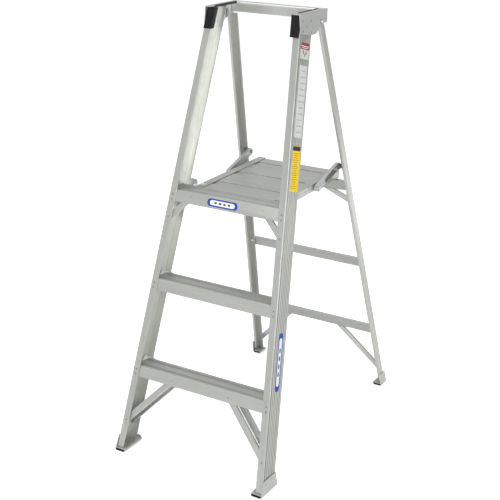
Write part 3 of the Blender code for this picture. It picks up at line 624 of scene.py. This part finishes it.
def rail_ribs(name, web):
    bm = bmesh.new()
    first, last = RIB_FIELD
    depth = (web.at(1, 0) - web.at(0, 0)).length
    half = RIB_WIDTH / 2 / depth
    for rib in range(RIB_COUNT):
        centre = first + (last - first) * rib / (RIB_COUNT - 1)
        section = [
            (centre + half * cos(radians(a)), RIB_HEIGHT * sin(radians(a)))
            for a in range(0, 181, 30)
        ]
        section = [(centre + half, -SUNK), *section, (centre - half, -SUNK)]
        rings = []
        stations = (
            (RIB_BOTTOM, RIB_END),
            (RIB_BOTTOM + RIB_RAMP, 1),
            (RIB_TOP - RIB_RAMP, 1),
            (RIB_TOP, RIB_END),
        )
        for z, scale in stations:
            ring = []
            for share, lift in section:
                lift = lift * scale if lift > 0 else lift
                ring.append(bm.verts.new(web.at(share, z, lift)))
            rings.append(ring)
        count = len(section)
        bm.faces.new(rings[0])
        bm.faces.new(list(reversed(rings[-1])))
        for near, far in zip(rings, rings[1:]):
            for i in range(count):
                j = (i + 1) % count
                bm.faces.new((near[i], near[j], far[j], far[i]))
    finish = RAIL_FINISH[f"front_rail_{name}"]
    finish_mesh(f"rail_ribs_{name}", bm, "front", finish, smooth=50)


def flange_rivets(name, side):
    """Rivets through the front rails' flanges into the steps' skirts and the braces."""
    node = f"front_rail_{name}"
    spots = []
    for x, z in FRONT_FLANGE_RIVETS:
        y = WEBS[name].at(0, z).y - FOOT_Y
        spots.append(skin(node, side * x, y, z, BACK))
    for x, z in BACK_FLANGE_RIVETS:
        y = WEBS[name].at(1, z).y - FOOT_Y
        spots.append(skin(node, side * x, y, z, -BACK))
    rivets(f"flange_rivets_{name}", "front", spots)


def skirt_rivets(name, side):
    """Rivets through the steps' skirts into the braces' upper ends."""
    spots = []
    for node, x, z in SKIRT_RIVETS:
        spots.append(skin(node, side * x, 0, z, BACK))
    node, x, z = BACK_SKIRT_RIVET
    spots.append(skin(node, side * x, STEP_BACK_Y, z, -BACK))
    rivets(f"skirt_rivets_{name}", "front", spots, SMALL_RIVET)


def plate_rivets(name, side):
    """Rivets through the guard plates and through the shoes' side plates."""
    spots = [skin(f"guard_plate_{name}", side * 8, y, z, -side * RIGHT) for y, z in PLATE_RIVETS]
    rivets(f"guard_rivets_{name}", "front", spots)
    spots = [skin(f"front_foot_{name}", side * 12, y, z, -side * RIGHT) for y, z in SHOE_RIVETS]
    rivets(f"shoe_rivets_{name}", "front", spots, SMALL_RIVET)


def fold_shadow_trim(name, side):
    """A black strip over the guard plate's folded edge, from the cap to the bar, put there as the
    shadow line under the fold.
    """
    node = f"guard_plate_{name}"
    low, high = (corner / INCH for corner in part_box(node))
    inner = min(abs(low.x), abs(high.x))
    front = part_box(f"end_cap_{name}")[1].y / INCH + TRIM_FRONT_GAP
    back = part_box("guard_bar")[0].y / INCH - TRIM_BACK_GAP
    drop = REACH * UP
    ends = []
    for y in (front, back):
        ends.append(land(node, Vector((side * (inner + 0.1), y, high.z)) + drop, -UP)[0])
    ends = [Vector((side * inner, p.y, p.z)) for p in ends]
    run = ends[1] - ends[0]
    outline = [
        (-side * x, y)
        for x, y in (
            (TRIM_COVER, -SUNK),
            (TRIM_COVER, TRIM_WALL),
            (-TRIM_WALL, TRIM_WALL),
            (-TRIM_WALL, -TRIM_DEPTH),
            (TRIM_COVER, -TRIM_DEPTH),
            (TRIM_COVER, SUNK - GUARD_WALL),
            (SUNK, SUNK - GUARD_WALL),
            (SUNK, -SUNK),
        )
    ]
    bm = bmesh.new()
    prism(bm, outline, placed(ends[0], run.normalized(), UP), 0, run.length)
    # A dark piece that stands in for the shadow under the fold.
    finish_mesh(f"fold_shadow_trim_{name}", bm, "front", CAP_FINISH)


def shoe_treads(name, side):
    """Ridges along the foot plate inside the rail, and the plate's upturned rear end."""
    node = f"front_foot_{name}"
    low, high = (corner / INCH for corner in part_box(node))
    inner = min(abs(low.x), abs(high.x)) + TREAD_INSET
    bm = bmesh.new()
    across = Matrix(((side, 0, 0), (0, 0, 1), (0, 1, 0))).to_4x4()
    plate_top = skin(node, side * (inner + 0.3), 1.5, 3.0, -UP)[0].z
    for ridge in range(TREAD_RIDGES):
        x = inner + TREAD_PITCH * ridge
        section = [
            (x - 0.05, plate_top - SUNK),
            (x - 0.04, plate_top + 0.05),
            (x, plate_top + 0.065),
            (x + 0.04, plate_top + 0.05),
            (x + 0.05, plate_top - SUNK),
        ]
        prism(bm, section, across, *(FOOT_Y + y for y in TREAD_SPAN))
    tab_front = high.y - 0.16
    tab = [
        (tab_front, plate_top - SUNK),
        (tab_front, plate_top + 0.20),
        (tab_front + 0.04, plate_top + 0.34),
        (tab_front + 0.12, plate_top + 0.34),
        (tab_front + 0.10, plate_top - SUNK),
    ]
    upright = Matrix(((0, 0, 1), (1, 0, 0), (0, 1, 0))).to_4x4()
    ends = sorted((side * (inner + 0.02), side * (inner + 1.22)))
    prism(bm, tab, upright, *ends)
    finish_mesh(f"shoe_treads_{name}", bm, "front", FOOT_FINISH)


def tread_clips(name, side):
    """Small bent clips that close the treads' ends against the rails' webs, with their rivets."""
    bm = bmesh.new()
    spots = []
    for node in ("lower_step", "upper_step"):
        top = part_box(node)[1].z / INCH
        web = WEBS[name].at(0.5, top)
        inner = abs(web.x) - CLIP_FROM_WEB
        back = WEBS[name].at(1, top).y - CLIP_FROM_BACK
        outline = [
            (inner, back - CLIP_LENGTH),
            (inner, back),
            (inner - CLIP_REACH, back),
            (inner - CLIP_REACH, back - 0.16),
            (inner - 0.42, back - 0.30),
            (inner - 0.22, back - CLIP_LENGTH),
        ]
        flat = Matrix(((side, 0, 0), (0, 1, 0), (0, 0, 1))).to_4x4()
        prism(bm, outline, flat, top - SUNK, top + CLIP_WALL)
        riser = [
            (top - SUNK, back - CLIP_LENGTH + 0.10),
            (top + CLIP_WALL, back - CLIP_LENGTH + 0.10),
            (top + CLIP_RISE, back - 0.70),
            (top + CLIP_RISE, back - 0.30),
            (top - SUNK, back - 0.10),
        ]
        sideways = Matrix(((0, 0, 1), (0, 1, 0), (1, 0, 0))).to_4x4()
        prism(bm, riser, sideways, *sorted((side * (inner - CLIP_WALL), side * inner)))
        place = Vector((side * (inner - CLIP_WALL), back - 0.5, top + 0.25))
        spots.append((place, -side * RIGHT))
        spots.append((Vector((side * (inner - 0.95), back - 0.09, top + CLIP_WALL)), UP))
    finish_mesh(f"tread_clips_{name}", bm, "front", BRIGHT_FINISH)
    rivets(f"clip_rivets_{name}", "front", spots, SMALL_RIVET)


def rear_rivets(name, side):
    """Rivets that hold the rear bars and braces to the rear rails' flanges."""
    spots = []
    inside = []
    for bar in ("top", "middle", "bottom"):
        low, high = (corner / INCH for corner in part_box(f"rear_bar_{bar}"))
        for share in (0.3, 0.7):
            z = low.z + (high.z - low.z) * share
            for x in (high.x - 0.18, high.x - 0.62):
                spots.append(land(f"rear_bar_{bar}", (side * x, high.y + REACH, z), -BACK))
        z = (low.z + high.z) / 2
        x = high.x - 0.16
        inside.append(land(f"rear_rail_{name}", (side * x, low.y - REACH / 2, z), BACK))
    for brace in ("top", "bottom"):
        low, high = (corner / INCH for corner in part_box(f"rear_brace_{brace}_{name}"))
        x = max(abs(low.x), abs(high.x)) - 0.30
        z = low.z + 0.42
        spots.append(land(f"rear_brace_{brace}_{name}", (side * x, high.y + REACH, z), -BACK))
    rivets(f"rear_rivets_{name}", "rear", spots, SMALL_RIVET)
    rivets(f"rear_inner_rivets_{name}", "rear", inside, BIG_RIVET, BRIGHT_FINISH)
    low, high = (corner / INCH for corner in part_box(f"rear_foot_{name}"))
    middle = (low.y + high.y) / 2
    spots = []
    for y in (middle - 0.35, middle + 0.45):
        start = (side * (abs(high.x) + abs(low.x) + REACH), y, 1.3)
        spots.append(land(f"rear_foot_{name}", start, -side * RIGHT))
    rivets(f"rear_shoe_rivets_{name}", "rear", spots, SMALL_RIVET)


def beam_rivets(name, side):
    """Rivets through the side beams into the planks' ends, clear of the platform's pin."""
    spots = []
    pin_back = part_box(f"platform_pin_{name}")[1].y / INCH
    for plank in ("front", "middle", "back"):
        low, high = (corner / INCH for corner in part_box(f"deck_plank_{plank}"))
        first = max(low.y + 0.95, pin_back + PIN_CLEARANCE)
        for y in (first, high.y - 0.95):
            start = (side * REACH * 2, y, low.z + 0.42)
            spots.append(land(f"side_beam_{name}", start, -side * RIGHT))
    rivets(f"beam_rivets_{name}", "platform", spots, FLAT_RIVET)


def hinge_tabs(name, side):
    """A bent tab with its rivet at each front corner of the deck, beside the platform's pin."""
    low, high = (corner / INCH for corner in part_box(f"side_beam_{name}"))
    top = high.z
    outer = max(abs(low.x), abs(high.x))
    front = low.y
    bm = bmesh.new()
    foot, bend, outside = (outer - x for x in TAB_PROFILE)
    plate_top = top + TAB_WALL
    section = [
        (foot, top - SUNK),
        (foot, plate_top),
        (bend, plate_top),
        (bend + 0.06, top + TAB_HEIGHT),
        (outside, top + TAB_HEIGHT),
        (outside, top - SUNK),
    ]
    along = Matrix(((side, 0, 0), (0, 0, 1), (0, 1, 0))).to_4x4()
    prism(bm, section, along, front + TAB_START, front + TAB_END)
    finish_mesh(f"hinge_tab_{name}", bm, "platform", BRIGHT_FINISH)
    middle = front + (TAB_START + TAB_END) / 2
    spots = [(Vector((side * (outer - TAB_RIVET), middle, plate_top)), UP)]
    rivets(f"tab_rivet_{name}", "platform", spots, SMALL_RIVET)


def sheet(name, node, body, x, y, z, direction, up, parts):
    """A label: thin printed sheets in one place, each (outline, colour finish, lift, thickness)."""
    place, normal = skin(node, x, y, z, direction)
    matrix = placed(place, normal, up)
    for index, (outline, finish, lift, thickness) in enumerate(parts):
        bm = bmesh.new()
        prism(bm, outline, matrix, lift, lift + thickness)
        finish_mesh(f"{name}_{index + 1}", bm, body, finish, smooth=20)


def rail_label(name, z, width, height, parts):
    """A label on the right rail's web, its middle at a height."""
    side = SIDES["right"]
    node = "front_rail_right"
    y = WEBS["right"].at(0.5, z).y - FOOT_Y
    up = RAIL_ALONG[node]
    base = (panel(width, height), parts[0], LABEL_LIFT - LABEL_ROOT, SHEET + LABEL_ROOT)
    shapes = [base]
    for outline, finish in parts[1:]:
        shapes.append((outline, finish, LABEL_LIFT + SHEET - 0.002, SHEET * 0.5))
    sheet(name, node, "front", side * 12, y, z, -RIGHT, up, shapes)


def caution_label():
    """Yellow, with a black head and olive lines."""
    parts = [YELLOW_INK, (shifted(panel(1.9, 0.55, 0.05), 0, 2.62), BLACK_INK)]
    for row in range(17):
        line = shifted(panel(1.5 - 0.3 * (row % 3), 0.07, 0.02), -0.1, 2.0 - 0.28 * row)
        parts.append((line, OLIVE_INK))
    rail_label("label_yellow", *YELLOW_LABEL, parts)


def red_label():
    """Red, with two white lines."""
    parts = [
        RED_INK,
        (shifted(panel(1.8, 0.10, 0.04), 0, -0.02), WHITE_INK),
        (shifted(panel(1.5, 0.08, 0.03), 0, -0.24), WHITE_INK),
    ]
    rail_label("label_red", *RED_LABEL, parts)


def mark_label():
    """Silver, with three slanted black marks."""
    parts = [SILVER_INK]
    for x, y, turn in ((-0.35, 0.25, 0.5), (0.05, -0.05, -0.3), (0.35, 0.28, 0.2)):
        bar = [
            (a * cos(turn) - b * sin(turn) + x, a * sin(turn) + b * cos(turn) + y)
            for a, b in pill(0.16, 0.55)
        ]
        parts.append((bar, BLACK_INK))
    rail_label("label_figure", *MARK_LABEL, parts)


def pale_label():
    """Silver, with grey lines."""
    parts = [SILVER_INK]
    for row in range(11):
        line = shifted(panel(1.3 + 0.2 * (row % 2), 0.14, 0.05), 0.05, 3.9 - 0.78 * row)
        parts.append((line, GREY_INK))
    rail_label("label_pale", *PALE_LABEL, parts)


def badge_parts(outer, inner, dots, base, thickness):
    """A blue ring round a white field with black dots. base is the ring's underside."""
    top = base + thickness
    parts = [
        (outer, BLUE_INK, base, thickness),
        (inner, WHITE_INK, top - 0.002, SHEET * 0.5),
    ]
    for dot in dots:
        parts.append((dot, BLACK_INK, top + SHEET * 0.5 - 0.004, SHEET * 0.5))
    return parts


def badges():
    """Blue and white badges up the right rail and on the platform step's skirt."""
    z, width, height = RAIL_BADGE
    y = WEBS["right"].at(0.5, z).y - FOOT_Y
    dots = [shifted(pill(0.30, 0.62), 0, step) for step in (-1.6, -0.55, 0.5, 1.55)]
    outer, inner = pill(width, height), pill(0.72, 6.4)
    parts = badge_parts(outer, inner, dots, LABEL_LIFT - LABEL_ROOT, SHEET + LABEL_ROOT)
    up = RAIL_ALONG["front_rail_right"]
    sheet("badge_rail", "front_rail_right", "front", 12, y, z, -RIGHT, up, parts)
    dots = [shifted(pill(0.42, 0.24), step, 0) for step in (-1.05, -0.35, 0.35, 1.05)]
    outer, inner = pill(4.75, 1.05), pill(3.9, 0.66)
    parts = badge_parts(outer, inner, dots, -SUNK, SHEET + SUNK)
    x, z = SKIRT_BADGE_PLACE
    sheet("badge_skirt", "platform_step", "front", x, 8, z, BACK, UP, parts)


def labels():
    """Generic panels with no lettering, where such a ladder carries its stickers."""
    caution_label()
    red_label()
    mark_label()
    pale_label()
    badges()


def arm_washer(name, side):
    """A washer under each spreader bolt's head."""
    low, high = (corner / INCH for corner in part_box(f"spreader_bolt_{name}"))
    centre = (low + high) / 2
    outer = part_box(f"spreader_arm_{name}")
    face = max(abs(outer[0].x), abs(outer[1].x)) / INCH
    washer = [(0, -SUNK), (0.30, -SUNK), (0.32, 0.0), (0.31, 0.025), (0, 0.025)]
    bm = bmesh.new()
    matrix = placed(Vector((side * face, centre.y, centre.z)), side * RIGHT, UP)
    lathe(bm, washer, matrix, 24)
    finish_mesh(f"arm_washer_{name}", bm, f"spreader_{name}", BOLT_FINISH)


# ---------------------------------------------------------------- camera, light and floor


def camera():
    azimuth, elevation = radians(CAMERA_AZIMUTH), radians(CAMERA_ELEVATION)
    back = Vector((sin(azimuth) * cos(elevation), -cos(azimuth) * cos(elevation), sin(elevation)))
    target = Vector(CAMERA_TARGET) * INCH
    data = bpy.data.cameras.new("camera")
    data.sensor_width = SENSOR
    data.lens = SENSOR / 2 / tan(radians(CAMERA_FIELD / 2))
    data.clip_start = 0.1
    data.clip_end = 60
    made = bpy.data.objects.new("camera", data)
    made.location = target + back * CAMERA_DISTANCE * INCH
    made.rotation_mode = "QUATERNION"
    made.rotation_quaternion = (-back).to_track_quat("-Z", "Y")
    bpy.context.scene.collection.objects.link(made)
    bpy.context.scene.camera = made


def floor():
    """A pale floor, which looks white to the camera and less so to everything that it lights."""
    bm = bmesh.new()
    bmesh.ops.create_circle(bm, cap_ends=True, segments=64, radius=FLOOR_RADIUS)
    mesh = bpy.data.meshes.new("studio_floor")
    bm.to_mesh(mesh)
    bm.free()
    made = bpy.data.objects.new("studio_floor", mesh)
    made.location.z = -FLOOR_DROP
    bpy.context.scene.collection.objects.link(made)
    g = Graph("floor_paint")
    tone = g.mix(g.noise(g.place(), 1.5, 3.0), *FLOOR_COLOURS)
    g.put(g.shader.inputs["Base Color"], tone)
    g.put(g.shader.inputs["Roughness"], 0.9)
    g.put(g.shader.inputs["Specular IOR Level"], 0.1)
    paths = g.node("ShaderNodeLightPath")
    glow = g.remap(paths.outputs["Is Camera Ray"], 0.0, 1.0, *FLOOR_GLOW)
    g.put(g.shader.inputs["Emission Color"], (1, 1, 1, 1))
    g.put(g.shader.inputs["Emission Strength"], glow)
    mesh.materials.append(g.material)


def sky():
    """A white sky that is brighter overhead, and plain white to the camera."""
    world = bpy.data.worlds.new("studio")
    bpy.context.scene.world = world
    world.use_nodes = True
    tree = world.node_tree
    background = tree.nodes["Background"]
    background.inputs["Color"].default_value = (1, 1, 1, 1)
    paths = tree.nodes.new("ShaderNodeLightPath")
    direction = tree.nodes.new("ShaderNodeTexCoord")
    parts = tree.nodes.new("ShaderNodeSeparateXYZ")
    tree.links.new(direction.outputs["Generated"], parts.inputs[0])
    rise = tree.nodes.new("ShaderNodeMapRange")
    tree.links.new(parts.outputs["Z"], rise.inputs[0])
    horizon, overhead = WORLD_LIGHT
    rise.inputs[3].default_value = horizon
    rise.inputs[4].default_value = overhead
    strength = tree.nodes.new("ShaderNodeMapRange")
    tree.links.new(paths.outputs["Is Camera Ray"], strength.inputs[0])
    tree.links.new(rise.outputs[0], strength.inputs[3])
    strength.inputs[4].default_value = 1.0
    tree.links.new(strength.outputs[0], background.inputs["Strength"])


def lamps():
    for name, place, size, power, spread, aim in LIGHTS:
        light = bpy.data.lights.new(name, "AREA")
        light.shape = "DISK"
        light.size = size
        light.energy = power
        light.spread = radians(spread)
        lamp = bpy.data.objects.new(name, light)
        lamp.location = place
        lamp.rotation_mode = "QUATERNION"
        lamp.rotation_quaternion = (Vector(aim) - Vector(place)).to_track_quat("-Z", "Y")
        lamp.visible_camera = False
        bpy.context.scene.collection.objects.link(lamp)


dress_nodes()
for side_name, side_sign in SIDES.items():
    rail_ribs(side_name, WEBS[side_name])
    flange_rivets(side_name, side_sign)
    skirt_rivets(side_name, side_sign)
    plate_rivets(side_name, side_sign)
    fold_shadow_trim(side_name, side_sign)
    shoe_treads(side_name, side_sign)
    tread_clips(side_name, side_sign)
    rear_rivets(side_name, side_sign)
    beam_rivets(side_name, side_sign)
    hinge_tabs(side_name, side_sign)
    arm_washer(side_name, side_sign)
labels()
camera()
floor()
sky()
lamps()
bpy.context.scene.view_settings.view_transform = "Standard"
